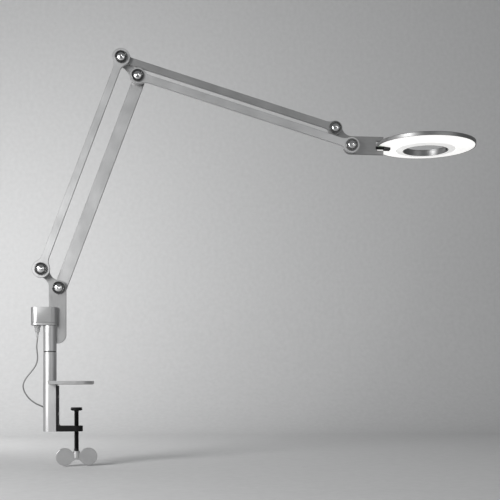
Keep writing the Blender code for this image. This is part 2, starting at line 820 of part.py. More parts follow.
def make_head_link(parent):
    branch = (LINK.x, LINK.z)
    tip = NECK_LENGTH + FORK_LENGTH
    low = -ROLL_DROP - FORK_BELOW
    high = -ROLL_DROP + FORK_ABOVE
    fork = [(tip, -NECK_BELOW), (tip, low), (NECK_LENGTH, low)]
    fork += [(NECK_LENGTH, high), (tip, high), (tip, NECK_ABOVE)]
    outline = branch_outline(branch, NECK_BELOW, NECK_ABOVE, LINK_BOSS_R, LINK_FILLET_R, fork)
    loops = [outline, circle((0, 0), PIN_R + FIT), circle(branch, PIN_R + FIT)]
    neck = plate("head_link", loops, 3, parent)
    hole = lathe(
        "tang_hole",
        rod(ROLL_TANG_R + FIT, NECK_LENGTH - ROLL_TANG_LENGTH - FIT, NECK_LENGTH + 2 * MM),
        "satin",
        parent,
        (0, 0, -ROLL_DROP),
        "X",
        16,
    )
    cut(neck, hole)


def make_pivot(name, parent, place, front, back):
    """A chrome cap on the front layer and a headed pin from it through to behind the back layer."""
    front_y = LAYER[front] - PLATE / 2 - FIT
    back_y = LAYER[back] + PLATE / 2 + FIT
    rim = CAP_RIM
    dome = CAP_HEIGHT
    profile = [(0, -dome)]
    rise = dome - rim * 0.8
    for step in range(1, 4):
        angle = step * pi / 6
        profile.append((CAP_DOME_R * sin(angle), -rim * 0.8 - rise * cos(angle)))
    profile += [
        (CAP_DOME_R + 1.2 * MM, -rim * 0.8),
        (CAP_DOME_R + 2.2 * MM, -rim),
        (CAP_R - 0.6 * MM, -rim),
        (CAP_R, -rim + 0.8 * MM),
        (CAP_R, 0),
        (BORE_R, 0),
        (BORE_R, -CAP_BORE_DEPTH),
        (0, -CAP_BORE_DEPTH),
    ]
    lathe(f"{name}_cap", profile, "chrome", parent, (place[0], front_y, place[2]), "Y", 24)
    tip = front_y - CAP_BORE_DEPTH + FIT - back_y
    recess = 3 * MM
    lathe(
        f"{name}_pin",
        [
            (0, tip),
            (PIN_R, tip),
            (PIN_R, 0),
            (PIN_HEAD_R, 0),
            (PIN_HEAD_R, PIN_HEAD_THICKNESS - 1 * MM),
            (PIN_HEAD_R - 1 * MM, PIN_HEAD_THICKNESS),
            (recess, PIN_HEAD_THICKNESS),
            (recess, PIN_HEAD_THICKNESS - 2 * MM),
            (0, PIN_HEAD_THICKNESS - 2 * MM),
        ],
        "steel",
        parent,
        (place[0], back_y, place[2]),
        "Y",
        16,
    )


def make_spacer(name, parent, place, front, back, finish="nylon"):
    """A washer, or a thicker spacer where a layer is skipped, between two plates."""
    low = LAYER[front] + PLATE / 2 + RUN
    high = LAYER[back] - PLATE / 2 - RUN
    profile = [(BORE_R, high), (WASHER_R, high), (WASHER_R, low), (BORE_R, low)]
    lathe(name, profile, finish, parent, (place[0], 0, place[2]), "Y", 16)


def make_arms(post):
    """Both parallelograms. Each bar hangs on an empty whose local X runs along it."""
    main = (BRACKET_REACH, 0, BRACKET_PIVOT_HEIGHT)
    second = (main[0] + LINK.x, 0, main[2] + LINK.z)
    steep = LOWER_LEAN - pi / 2
    origin = (0, 0, 0)
    link = tuple(LINK)

    pivots = empty("bracket_pivots", post, main)
    lower = empty("shoulder_axis", post, main, (0, steep, 0))
    lower_rod = empty("lower_rod_axis", post, second, (0, steep, 0))
    elbow = empty("elbow_link_axis", lower, (ARM_LENGTH, 0, 0), (0, -steep, 0))
    upper = empty("elbow_axis", elbow, origin, (0, UPPER_DROP, 0))
    upper_rod = empty("upper_rod_axis", elbow, link, (0, UPPER_DROP, 0))
    head = empty("head_link_axis", upper, (ARM_LENGTH, 0, 0), (0, -UPPER_DROP, 0))

    bracket = empty("bracket_origin", post, main)
    make_bracket(bracket)
    make_arm("lower_arm", lower, 4, LOWER_ARM_WIDTH, 0, LOWER_ARM_OFFSET)
    make_arm("lower_rod", lower_rod, 1, ROD_WIDTH, LOWER_ROD_BOSS_R)
    make_elbow_link(elbow)
    make_arm("upper_arm", upper, 1, UPPER_ARM_WIDTH, UPPER_ARM_BOSS_R)
    make_arm("upper_rod", upper_rod, 2, ROD_WIDTH, UPPER_ROD_BOSS_R)
    make_head_link(head)

    make_pivot("shoulder", pivots, origin, 3, 4)
    make_pivot("lower_rod_foot", pivots, link, 1, 3)
    make_pivot("elbow", elbow, origin, 1, 4)
    make_pivot("elbow_rod", elbow, link, 1, 3)
    make_pivot("head", head, origin, 1, 3)
    make_pivot("head_rod", head, link, 2, 3)

    make_spacer("shoulder_washer", pivots, origin, 3, 4)
    make_spacer("lower_rod_spacer", pivots, link, 1, 3, "satin")
    make_spacer("elbow_spacer", elbow, origin, 1, 3, "satin")
    make_spacer("elbow_washer", elbow, origin, 3, 4)
    make_spacer("elbow_rod_front_washer", elbow, link, 1, 2)
    make_spacer("elbow_rod_back_washer", elbow, link, 2, 3)
    make_spacer("head_spacer", head, origin, 1, 3, "satin")
    make_spacer("head_rod_washer", head, link, 2, 3)
    return head


# ---------------------------------------------------------------- light head


def make_light(head_link):
    """The ring light, which rolls about the pin in the neck's end."""
    roll = empty("head_roll_axis", head_link, (NECK_LENGTH, 0, -ROLL_DROP), (ROLL_AT_REST, 0, 0))
    centre = (HEAD_REACH - NECK_LENGTH, 0, 0)
    rim_low = HEAD_RISE
    top = rim_low + HEAD_RIM
    skin_low = top - HEAD_SKIN
    inner = HEAD_R - HEAD_WALL
    collar_out = HEAD_HOLE_R + COLLAR_WALL
    steps = 64
    lathe(
        "head_housing",
        [
            (HEAD_HOLE_R, top - HEAD_SINK),
            (HEAD_R - 0.8 * MM, top),
            (HEAD_R, top - 0.8 * MM),
            (HEAD_R, rim_low),
            (inner, rim_low),
            (inner, skin_low),
            (HEAD_HOLE_R, skin_low - HEAD_SINK),
        ],
        "satin",
        roll,
        centre,
        steps=steps,
    )
    ceiling = skin_low - HEAD_SINK - FIT
    dish_low = rim_low - HEAD_DISH
    collar = lathe(
        "head_collar",
        [
            (HEAD_HOLE_R, ceiling),
            (collar_out, ceiling),
            (collar_out, dish_low + 0.6 * MM),
            (HEAD_HOLE_R, dish_low + 0.6 * MM),
        ],
        "steel",
        roll,
        centre,
        steps=steps,
    )

    # The underside is one cone from the rim down to the collar, split at the seam.
    cone_out = inner - FIT
    cone_in = collar_out + FIT
    cone_top = rim_low + 0.2 * MM

    def cone(radius):
        return cone_top - HEAD_DISH * (cone_out - radius) / (cone_out - cone_in)

    guide_top = cone_top + 1 * MM
    seam_out = SEAM_R + FIT
    seam_in = SEAM_R - FIT
    guide = lathe(
        "light_guide",
        [
            (seam_out, guide_top),
            (cone_out, guide_top),
            (cone_out, cone_top),
            (seam_out + 0.5 * MM, cone(seam_out)),
            (seam_out, cone(seam_out) + 0.5 * MM),
        ],
        "diffuser",
        roll,
        centre,
        steps=steps,
    )
    trim = 2 * MM
    lip = 1.2 * MM
    lathe(
        "inner_trim",
        [
            (cone_in, cone(cone_in) + trim),
            (seam_in, cone(seam_in) + trim),
            (seam_in, cone(seam_in) + 0.4 * MM),
            (seam_in - 0.4 * MM, cone(seam_in)),
            (cone_in + lip, cone(cone_in)),
            (cone_in, cone(cone_in) + lip / 2),
        ],
        "diffuser",
        roll,
        centre,
        steps=steps,
    )
    board_top = ceiling
    board_low = board_top - BOARD_THICKNESS
    board = lathe(
        "led_board",
        [
            (LED_BOARD_INNER_R, board_top),
            (cone_out, board_top),
            (cone_out, board_low),
            (LED_BOARD_INNER_R, board_low),
        ],
        "board",
        roll,
        centre,
        steps=40,
    )

    block_left = FORK_LENGTH + BLOCK_GAP
    block_right = block_left + BLOCK_LENGTH
    pin_end = block_right - BLOCK_WALL
    lathe(
        "roll_pin",
        [
            (0, pin_end),
            (ROLL_PIN_R - 0.6 * MM, pin_end),
            (ROLL_PIN_R, pin_end - 0.6 * MM),
            (ROLL_PIN_R, FIT),
            (ROLL_TANG_R, FIT),
            (ROLL_TANG_R, -ROLL_TANG_LENGTH),
            (0, -ROLL_TANG_LENGTH),
        ],
        "black",
        head_link,
        (NECK_LENGTH, 0, -ROLL_DROP),
        "X",
        24,
    )
    block_low = -ROLL_PIN_R - BLOCK_WALL
    block_half = BLOCK_WIDTH / 2
    pivot_block = block(
        "pivot_block",
        (block_left, -block_half, block_low),
        (block_right, block_half, board_top),
        "black",
        roll,
        edge=0.8 * MM,
    )
    pin_hole = lathe(
        "pin_hole",
        rod(ROLL_PIN_R + SCREW_CLEARANCE, block_left - FIT, pin_end + FIT),
        "satin",
        roll,
        axis="X",
        steps=24,
    )
    cut(pivot_block, pin_hole)
    notch = block(
        "block_notch",
        (0, -block_half - FIT, block_low),
        (block_right + FIT, block_half + FIT, board_top + FIT / 2),
        "satin",
        roll,
    )
    cut(guide, notch)
    cut(board, notch)

    button_z = (ceiling + dish_low) / 2 + 0.6 * MM
    button_x = centre[0] + HEAD_HOLE_R
    press = empty("switch_axis", roll, (button_x, 0, button_z))
    lathe(
        "switch_button",
        [
            (0, -BUTTON_PROUD),
            (BUTTON_R - 0.6 * MM, -BUTTON_PROUD),
            (BUTTON_R, -BUTTON_PROUD + 0.6 * MM),
            (BUTTON_R, BUTTON_LENGTH - BUTTON_PROUD),
            (0, BUTTON_LENGTH - BUTTON_PROUD),
        ],
        "black",
        press,
        axis="X",
        steps=20,
    )
    button_hole = lathe(
        "button_hole",
        rod(BUTTON_R + FIT, -4 * MM, 4 * MM),
        "steel",
        roll,
        (button_x, 0, button_z),
        "X",
        20,
    )
    cut(collar, button_hole)


# ---------------------------------------------------------------- supply cord


def smooth_route(points, spacing):
    """Evenly spaced points on a Catmull-Rom curve through the route."""
    knots = [Vector(p) for p in points]
    knots = [2 * knots[0] - knots[1]] + knots + [2 * knots[-1] - knots[-2]]
    fine = []
    for i in range(1, len(knots) - 2):
        a, b, c, d = knots[i - 1 : i + 3]
        for step in range(24):
            t = step / 24
            fine.append(
                0.5
                * (
                    2 * b
                    + (c - a) * t
                    + (2 * a - 5 * b + 4 * c - d) * t**2
                    + (3 * b - a - 3 * c + d) * t**3
                )
            )
    fine.append(knots[-2])
    lengths = [0.0]
    for first, second in zip(fine, fine[1:]):
        lengths.append(lengths[-1] + (second - first).length)
    count = max(2, round(lengths[-1] / spacing))
    spaced = []
    index = 0
    for step in range(count + 1):
        target = lengths[-1] * step / count
        while index < len(fine) - 2 and lengths[index + 1] < target:
            index += 1
        share = (target - lengths[index]) / (lengths[index + 1] - lengths[index])
        spaced.append(fine[index].lerp(fine[index + 1], min(1, share)))
    return spaced


def make_plug(post):
    """The moulded plug in the housing's inlet, and its tapered boot."""
    place = (-INLET_REACH, 0, HOUSING_HEIGHT - FIT)
    edge = 1.4 * MM
    lathe(
        "cord_plug",
        [
            (0, PLUG_BARREL_LENGTH),
            (PLUG_BARREL_R, PLUG_BARREL_LENGTH),
            (PLUG_BARREL_R, 0),
            (PLUG_R - 0.4 * MM, 0),
            (PLUG_R, -0.4 * MM),
            (PLUG_R, edge - PLUG_LENGTH),
            (PLUG_R - edge / 3, edge / 3 - PLUG_LENGTH),
            (PLUG_R - edge, -PLUG_LENGTH),
            (0, -PLUG_LENGTH),
        ],
        "clear",
        post,
        place,
        steps=28,
    )
    top = -PLUG_LENGTH - FIT
    lathe(
        "plug_boot",
        [(0, top), (BOOT_TOP_R, top), (BOOT_END_R, top - BOOT_LENGTH), (0, top - BOOT_LENGTH)],
        "clear",
        post,
        place,
        steps=20,
    )


def make_cord(base):
    """The free stretch of cord, its coil behind the clamp, the coil's tie and the connector."""
    route = [Vector((POST_X + a * MM, b * MM, z * MM)) for a, b, z in CORD_ROUTE]
    points = smooth_route(route, CORD_SPACING)
    curve = bpy.data.curves.new("cord", "CURVE")
    curve.dimensions = "3D"
    curve.bevel_depth = CORD_R
    curve.bevel_resolution = 2
    curve.use_fill_caps = True
    spline = curve.splines.new("POLY")
    spline.points.add(len(points) - 1)
    for point, place in zip(spline.points, points):
        point.co = (*place, 1)
    curve.materials.append(material("cord", *FINISHES["cord"]))
    tube = bpy.data.objects.new("cord", curve)
    tube.parent = base
    bpy.context.scene.collection.objects.link(tube)

    away = Vector((-sin(COIL_TURN), cos(COIL_TURN), 0))
    centre = Vector((POST_X, 0, COIL_HEIGHT)) + away * COIL_DISTANCE
    ring = [
        (COIL_R + COIL_BUNDLE_R * cos(pi * i / 5), COIL_BUNDLE_R * sin(pi * i / 5))
        for i in range(10)
    ]
    turn = (0, 0, COIL_TURN)
    lathe("cord_coil", ring, "cord", base, centre, "X", 32, turn)

    bundle = COIL_BUNDLE_R + 0.5 * MM
    half = bundle + TIE_WALL
    near = centre - away * COIL_R
    loops = [rounded_box(-half, half, -half, half, 2.5 * MM), circle((0, 0), bundle)]
    tie = (near.x, near.y, near.z)
    prism("coil_tie", loops, -TIE_HEIGHT / 2, TIE_HEIGHT / 2, "XY", "black", base, tie, turn=turn)

    side = Vector((cos(COIL_TURN), sin(COIL_TURN), 0))
    hang = centre + away * TAIL_OUT + side * TAIL_SIDE + Vector((0, 0, -TAIL_DROP))
    boot = 11 * MM
    lathe(
        "cord_connector",
        [
            (0, 0),
            (BOOT_END_R, 0),
            (CONNECTOR_R - 0.8 * MM, -boot),
            (CONNECTOR_R, -boot - 0.8 * MM),
            (CONNECTOR_R, -CONNECTOR_LENGTH + 9 * MM),
            (PLUG_BARREL_R, -CONNECTOR_LENGTH + 9 * MM),
            (PLUG_BARREL_R, -CONNECTOR_LENGTH),
            (0, -CONNECTOR_LENGTH),
        ],
        "black",
        base,
        hang,
        steps=20,
    )


def main():
    clear_scene()
    base = empty("clamp_origin", None)
    post = empty("swivel_axis", base, (POST_X, 0, 0))
    make_clamp(base)
    make_clamp_screw(base)
    make_post(base, post)
    make_housing(post)
    head_link = make_arms(post)
    make_light(head_link)
    make_plug(post)
    make_cord(base)


main()
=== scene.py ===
"""Looks for the architect desk lamp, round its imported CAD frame: finishes, finer turned pieces, the real
cord and its coil, a plain studio and the camera. Metres, +Z up, +X over the desk towards the light."""

import json
from math import atan2, cos, pi, radians, sin, sqrt

import bmesh
import bpy
from mathutils import Matrix, Vector

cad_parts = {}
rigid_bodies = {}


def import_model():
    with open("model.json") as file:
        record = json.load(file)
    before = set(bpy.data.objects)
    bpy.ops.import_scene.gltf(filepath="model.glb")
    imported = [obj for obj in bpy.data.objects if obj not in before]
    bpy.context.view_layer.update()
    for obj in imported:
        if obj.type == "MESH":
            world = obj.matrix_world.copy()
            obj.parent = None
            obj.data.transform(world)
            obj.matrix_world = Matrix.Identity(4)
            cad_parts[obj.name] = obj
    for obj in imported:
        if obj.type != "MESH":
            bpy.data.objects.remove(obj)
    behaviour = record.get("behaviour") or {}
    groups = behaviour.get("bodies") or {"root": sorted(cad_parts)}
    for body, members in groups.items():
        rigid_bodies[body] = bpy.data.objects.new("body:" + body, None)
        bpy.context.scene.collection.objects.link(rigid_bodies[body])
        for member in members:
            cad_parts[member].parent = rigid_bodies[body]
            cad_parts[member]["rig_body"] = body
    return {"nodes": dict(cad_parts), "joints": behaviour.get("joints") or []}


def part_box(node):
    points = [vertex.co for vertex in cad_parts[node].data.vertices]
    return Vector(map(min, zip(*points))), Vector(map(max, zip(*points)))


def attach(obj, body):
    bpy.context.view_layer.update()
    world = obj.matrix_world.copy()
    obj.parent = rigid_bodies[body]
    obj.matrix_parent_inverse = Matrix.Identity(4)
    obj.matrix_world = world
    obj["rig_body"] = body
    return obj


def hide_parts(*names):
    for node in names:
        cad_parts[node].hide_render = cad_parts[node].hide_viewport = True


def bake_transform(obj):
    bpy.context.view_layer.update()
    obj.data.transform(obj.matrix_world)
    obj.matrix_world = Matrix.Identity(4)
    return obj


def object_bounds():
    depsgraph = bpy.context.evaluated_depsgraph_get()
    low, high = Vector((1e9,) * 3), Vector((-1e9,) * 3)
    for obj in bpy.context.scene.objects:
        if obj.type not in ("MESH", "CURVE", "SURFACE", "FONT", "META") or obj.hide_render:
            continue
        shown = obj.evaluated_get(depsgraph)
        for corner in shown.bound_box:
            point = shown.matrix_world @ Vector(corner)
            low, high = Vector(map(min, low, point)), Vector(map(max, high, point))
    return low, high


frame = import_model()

MM = 0.001
NODES = frame["nodes"]
PIVOTS = {joint["name"]: Vector(joint["pos_m"]) for joint in frame["joints"] if "pos_m" in joint}
POST_X = PIVOTS["swivel"].x
CAD_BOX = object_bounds()

# Studio
CAMERA_PLACE = (POST_X + 0.2486, -1.7162, 0)
CAMERA_TURN = radians(-5)
CAMERA_LENS = 61.2
CAMERA_SHIFT = 0.269
FLOOR_GAP = 2 * MM
WALL_Y = 1.5
SWEEP_R = 0.5
STAGE_HALF = 4.0

# Supply cord
CORD_R = 1.4 * MM
BARREL_R = 2.6 * MM  # the plug's and the connector's
BOOT_END_R = 1.9 * MM
BOOT_RINGS = 5
PLUG_ROWS = 4  # of its grip
CONNECTOR_BOOT = 11 * MM
CONNECTOR_BARREL = 9 * MM
CONNECTOR_BORE_R = 1 * MM
CONNECTOR_BORE_DEPTH = 7 * MM
COIL_R = 15.5 * MM  # middle of the turns
COIL_DISTANCE = 37.8 * MM  # post axis to the coil's axis
COIL_HEIGHT = -31 * MM
COIL_TURN = radians(8.4)
TURN_PITCH = 2.86 * MM  # between neighbouring turns
TURN_STEPS = 30  # route points in one turn
COIL_ROWS = (3, 4, 5, 4, 1)  # turns in each row of the bundle
COIL_MIDDLE_ROW = 1.7
CROSSING = radians(36)  # half the stretch in which a turn moves over, under the tie
COIL_START = radians(112)
COIL_END = radians(48)
# The free stretch from the boot to the coil, in millimetres: along +X from the post axis, back and up.
CORD_ROUTE = (
    (-24.6, 0.0, 92.2),
    (-24.8, 0.0, 88.0),
    (-25.6, 0.2, 82.0),
    (-26.1, 0.6, 75.0),
    (-25.4, 1.0, 66.0),
    (-24.6, 1.6, 56.0),
    (-25.6, 2.6, 46.0),
    (-29.6, 3.6, 36.0),
    (-37.6, 4.8, 25.0),
    (-46.6, 6.0, 14.0),
    (-52.6, 7.2, 3.0),
    (-53.6, 8.6, -7.0),
    (-49.6, 10.4, -18.0),
    (-41.6, 12.4, -29.0),
    (-31.0, 15.0, -37.5),
    (-21.8, 18.4, -42.2),
    (-16.4, 22.2, -45.2),
    (-13.9, 27.2, -47.6),
    (-13.1, 33.0, -49.1),
)

# Clamp screw
THREAD_PITCH = 1.5 * MM
THREAD_DEPTH = 0.8 * MM
THREAD_FADE = 2 * MM  # over which each end of the thread fades out
THREAD_ROWS = 8  # in one turn
THREAD_SIDES = 28
SHANK = 12 * MM  # plain, under the thread
SHANK_BELOW_THREAD = 18 * MM  # thread to the screw's lower end
SCREW_NOSE = 3 * MM  # thread to the screw's upper end

# Post
POST_R = 13 * MM
POST_LINE_R = 0.3 * MM
POST_LINE_DROPS = (1.6 * MM, 3.6 * MM)  # under the swivel seam

# Pivot caps
CAP_BORE_R = 4.3 * MM
CAP_BORE_DEPTH = 3.6 * MM
CAP_RIM_R = 0.8 * MM
CAP_RIM_HEIGHT = 2.7 * MM
CAP_GROOVE_HEIGHT = 1.5 * MM
CAP_DOME_BASE = 1.9 * MM
CAP_DIMPLE_R = 2.4 * MM
CAP_PAINTED_RIM_WIDTH = 3.2 * MM  # width of the rim painted darker chrome, painted shade

# Light levels
WORLD_COLOUR = (0.9, 0.92, 0.94, 1)
WORLD_STRENGTH = 0.22


# ---------------------------------------------------------------- materials


def add_node(tree, kind, **settings):
    node = tree.nodes.new(kind)
    for key, value in settings.items():
        setattr(node, key, value)
    return node


def new_material(name, grey, metallic, roughness, **sockets):
    """A Principled material. grey is one level or three, and sockets are more of the shader's own values."""
    colour = grey if isinstance(grey, tuple) else (grey, grey, grey)
    material = bpy.data.materials.new(name)
    material.use_nodes = True
    shader = material.node_tree.nodes["Principled BSDF"]
    shader.inputs["Base Color"].default_value = (*colour, 1)
    shader.inputs["Metallic"].default_value = metallic
    shader.inputs["Roughness"].default_value = roughness
    for socket, value in sockets.items():
        shader.inputs[socket.replace("_", " ")].default_value = value
    return material, material.node_tree, shader


def coordinates(tree, scale, turn=0.0):
    """Object coordinates, turned about Y so that x runs along a bar, then scaled."""
    place = add_node(tree, "ShaderNodeTexCoord").outputs["Object"]
    for socket, value in (("Rotation", (0, turn, 0)), ("Scale", scale)):
        mapping = add_node(tree, "ShaderNodeMapping")
        mapping.inputs[socket].default_value = value
        tree.links.new(place, mapping.inputs["Vector"])
        place = mapping.outputs["Vector"]
    return place


def noise(tree, vector, detail=2.0):
    node = add_node(tree, "ShaderNodeTexNoise")
    node.inputs["Scale"].default_value = 1
    node.inputs["Detail"].default_value = detail
    tree.links.new(vector, node.inputs["Vector"])
    return node.outputs["Fac"]


def spread(tree, factor, low, high, start=0.3, end=0.7):
    """A texture's value stretched over low to high."""
    node = add_node(tree, "ShaderNodeMapRange")
    for socket, value in (("From Min", start), ("From Max", end), ("To Min", low), ("To Max", high)):
        node.inputs[socket].default_value = value
    tree.links.new(factor, node.inputs["Value"])
    return node.outputs["Result"]


def tint(tree, shader, factor, dark, light, socket="Base Color"):
    ramp = add_node(tree, "ShaderNodeValToRGB")
    for element, place, colour in zip(ramp.color_ramp.elements, (0.3, 0.7), (dark, light)):
        element.position = place
        element.color = (*(colour if isinstance(colour, tuple) else (colour,) * 3), 1)
    tree.links.new(factor, ramp.inputs["Fac"])
    tree.links.new(ramp.outputs["Color"], shader.inputs[socket])


def bump(tree, shader, *layers):
    """Stacks (height, strength, distance) layers on the shader's normal."""
    normal = None
    for height, strength, distance in layers:
        node = add_node(tree, "ShaderNodeBump")
        node.inputs["Strength"].default_value = strength
        node.inputs["Distance"].default_value = distance
        tree.links.new(height, node.inputs["Height"])
        if normal:
            tree.links.new(normal, node.inputs["Normal"])
        normal = node.outputs["Normal"]
    tree.links.new(normal, shader.inputs["Normal"])


def even(scale):
    return (scale, scale, scale)


def satin(name, turn=0.0, dark=0.50, light=0.60, along=60, metallic=0.85):
    """Anodised aluminium: a fine grain along the bar, faint handling marks and an uneven sheen."""
    material, tree, shader = new_material(name, light, metallic, 0.42)
    grain = noise(tree, coordinates(tree, (along, 1300, 1300), turn), 3)
    blast = noise(tree, coordinates(tree, even(3200)), 1)
    cloud = noise(tree, coordinates(tree, even(22)), 3)
    mixed = add_node(tree, "ShaderNodeMath", operation="MULTIPLY_ADD")
    mixed.inputs[1].default_value = 0.45
    tree.links.new(grain, mixed.inputs[0])
    share = add_node(tree, "ShaderNodeMath", operation="MULTIPLY")
    share.inputs[1].default_value = 0.55
    tree.links.new(cloud, share.inputs[0])
    tree.links.new(share.outputs["Value"], mixed.inputs[2])
    tint(tree, shader, mixed.outputs["Value"], dark, light)
    tree.links.new(spread(tree, mixed.outputs["Value"], 0.36, 0.48), shader.inputs["Roughness"])
    bump(tree, shader, (grain, 0.10, 0.05 * MM), (blast, 0.08, 0.04 * MM))
    return material


def polished(name, grey=0.8, low=0.04, high=0.13):
    """Chrome plate with faint smears."""
    material, tree, shader = new_material(name, grey, 1.0, low)
    smear = noise(tree, coordinates(tree, (260, 260, 900)), 4)
    tree.links.new(spread(tree, smear, low, high), shader.inputs["Roughness"])
    tint(tree, shader, smear, grey * 0.94, grey)
    return material


def turned_steel(name, grey, low, high):
    """Plated steel with fine tool marks."""
    material, tree, shader = new_material(name, grey, 1.0, low)
    marks = noise(tree, coordinates(tree, (2400, 300, 2400)), 3)
    tree.links.new(spread(tree, marks, low, high), shader.inputs["Roughness"])
    tint(tree, shader, marks, grey * 0.85, grey)
    bump(tree, shader, (marks, 0.12, 0.05 * MM))
    return material


def moulded(name, dark, light, low, high, grain=1900, depth=0.15, **sockets):
    """Plastic, rubber or powder coat: an orange-peel grain with patches that are duller."""
    material, tree, shader = new_material(name, light, 0.0, low, **sockets)
    peel = noise(tree, coordinates(tree, even(grain)), 2)
    patch = noise(tree, coordinates(tree, even(70)), 3)
    tint(tree, shader, patch, dark, light)
    tree.links.new(spread(tree, patch, low, high), shader.inputs["Roughness"])
    bump(tree, shader, (peel, depth, 0.12 * MM))
    return material


def lit_guide(name, strength, dots=True):
    """Opal plastic lit from its edge, with the small dots that let the light out."""
    material, tree, shader = new_material(name, 0.86, 0.0, 0.22, Coat_Weight=0.3)
    shader.inputs["Emission Color"].default_value = (1.0, 0.99, 0.965, 1)
    cloud = noise(tree, coordinates(tree, even(34)), 3)
    glow = spread(tree, cloud, 0.86 * strength, strength)
    if dots:
        cells = add_node(tree, "ShaderNodeTexVoronoi")
        cells.inputs["Scale"].default_value = 1
        tree.links.new(coordinates(tree, even(140)), cells.inputs["Vector"])
        dot = spread(tree, cells.outputs["Distance"], 0.55, 1.0, 0.10, 0.16)
        product = add_node(tree, "ShaderNodeMath", operation="MULTIPLY")
        tree.links.new(glow, product.inputs[0])
        tree.links.new(dot, product.inputs[1])
        glow = product.outputs["Value"]
        bump(tree, shader, (cells.outputs["Distance"], 0.15, 0.2 * MM))
    tree.links.new(glow, shader.inputs["Emission Strength"])
    return material


def circuit_board(name):
    material, tree, shader = new_material(name, (0.03, 0.12, 0.06), 0.0, 0.35)
    tracks = add_node(tree, "ShaderNodeTexVoronoi", feature="DISTANCE_TO_EDGE")
    tracks.inputs["Scale"].default_value = 1
    tree.links.new(coordinates(tree, even(420)), tracks.inputs["Vector"])
    tint(tree, shader, tracks.outputs["Distance"], (0.10, 0.22, 0.10), (0.02, 0.10, 0.05))
    bump(tree, shader, (tracks.outputs["Distance"], 0.3, 0.1 * MM))
    return material


def woven(name):
    """The hook-and-loop tie's fuzz."""
    material, tree, shader = new_material(name, 0.03, 0.0, 0.85, Sheen_Weight=0.3)
    weave = add_node(tree, "ShaderNodeTexWave", bands_direction="DIAGONAL")
    weave.inputs["Scale"].default_value = 420
    weave.inputs["Distortion"].default_value = 1.5
    tree.links.new(coordinates(tree, even(1)), weave.inputs["Vector"])
    tint(tree, shader, weave.outputs["Fac"], 0.016, 0.05)
    bump(tree, shader, (weave.outputs["Fac"], 0.5, 0.3 * MM))
    return material


def bar_turn(start, end):
    run = PIVOTS[end] - PIVOTS[start]
    return atan2(run.z, run.x)


LOWER_TURN = bar_turn("shoulder", "elbow")
UPPER_TURN = bar_turn("elbow", "head_level")
LINK_TURN = bar_turn("elbow", "upper_rod_pivot")
# One anodised aluminium in satin copies of different levels, set as painted light and shade: the lighter
# lower, rod and upper copies are painted light, the darker copies are painted shade.
LOOK = {
    "upright": satin("satin_upright", pi / 2),
    "level": satin("satin_level"),
    "lower": satin("satin_lower", LOWER_TURN, 0.54, 0.64),
    "rod": satin("satin_rod", LOWER_TURN, 0.58, 0.68),
    "upper": satin("satin_upper", UPPER_TURN, 0.58, 0.68),
    # painted shade: the upper rod's satin is darker than the upper arm's
    "upper_shaded": satin("satin_upper_back", UPPER_TURN, 0.34, 0.42),
    "link": satin("satin_link", LINK_TURN, 0.50, 0.60),
    # painted shade: the head link, the driver box, the bracket and the head get darker satin
    "shaded_neck": satin("satin_neck", 0, 0.25, 0.33),
    "box": satin("satin_shaded_box", 0, 0.38, 0.46),
    "bracket": satin("satin_shaded_bracket", pi / 2, 0.34, 0.42),
    "head": satin("satin_shaded_head", 0, 0.24, 0.32, 500),
    # painted highlight and painted shade for round edges: a lighter and a darker copy of the same satin
    "edge": satin("satin_highlight_edge", 0, 0.60, 0.70, 900),
    "painted_shade_edge": satin("satin_dark_edge", 0, 0.14, 0.22, 900),
    # painted shade: the head collar gets darker satin
    "collar": satin("satin_shaded_collar", 0, 0.26, 0.36, 500),
    "chrome": polished("chrome", 0.72, 0.10, 0.22),
    # painted shade: darker chrome for the caps' outer rims
    "rim": polished("painted_dark_rim", 0.16, 0.16, 0.30),
    "steel": turned_steel("plated_steel", 0.5, 0.25, 0.4),
    "blackened": turned_steel("blackened_steel", 0.03, 0.35, 0.5),
    "powder": moulded("powder_coat", 0.004, 0.007, 0.55, 0.7, Specular_IOR_Level=0.2),
    "plastic": moulded("black_plastic", 0.006, 0.012, 0.42, 0.55, 1400, 0.1),
    "rubber": moulded("rubber", 0.02, 0.03, 0.75, 0.9, 1100, 0.3),
    "nylon": moulded("nylon", 0.55, 0.66, 0.4, 0.55),
    "clear": moulded("clear_grip", 0.55, 0.68, 0.16, 0.3, 900, 0.06, Transmission_Weight=0.55, IOR=1.46),
    "cord": moulded("cord_jacket", 0.18, 0.24, 0.38, 0.5, 1500, 0.1),
    "guide": lit_guide("lit_guide", 0.86),
    "trim": lit_guide("lit_trim", 0.55, dots=False),
    "board": circuit_board("circuit_board"),
    "tie": woven("tie_weave"),
}


# ---------------------------------------------------------------- CAD nodes that stay


def refine(names, look, edge=0.2 * MM, edge_look=None, segments=2):
    """Gives CAD nodes their finish, smooth curves and small round edges; an edge look paints those round
    edges: the lighter satin is a painted highlight, the darker one painted shade.
    """
    for name in names.split():
        node = NODES[name]
        data = node.data
        data.materials.clear()
        data.materials.append(LOOK[look])
        for layer in ("custom_normal", "sharp_edge", "sharp_face"):
            if layer in data.attributes:
                data.attributes.remove(data.attributes[layer])
        data.shade_smooth()
        weld = node.modifiers.new("weld", "WELD")
        weld.merge_threshold = 0.01 * MM
        flat = node.modifiers.new("flat", "DECIMATE")
        flat.decimate_type = "DISSOLVE"
        flat.angle_limit = radians(0.5)
        bevel = node.modifiers.new("edges", "BEVEL")
        bevel.width = edge
        bevel.segments = segments
        bevel.limit_method = "ANGLE"
        bevel.angle_limit = radians(28)
        bevel.harden_normals = True
        if edge_look:
            data.materials.append(LOOK[edge_look])
            bevel.material = 1


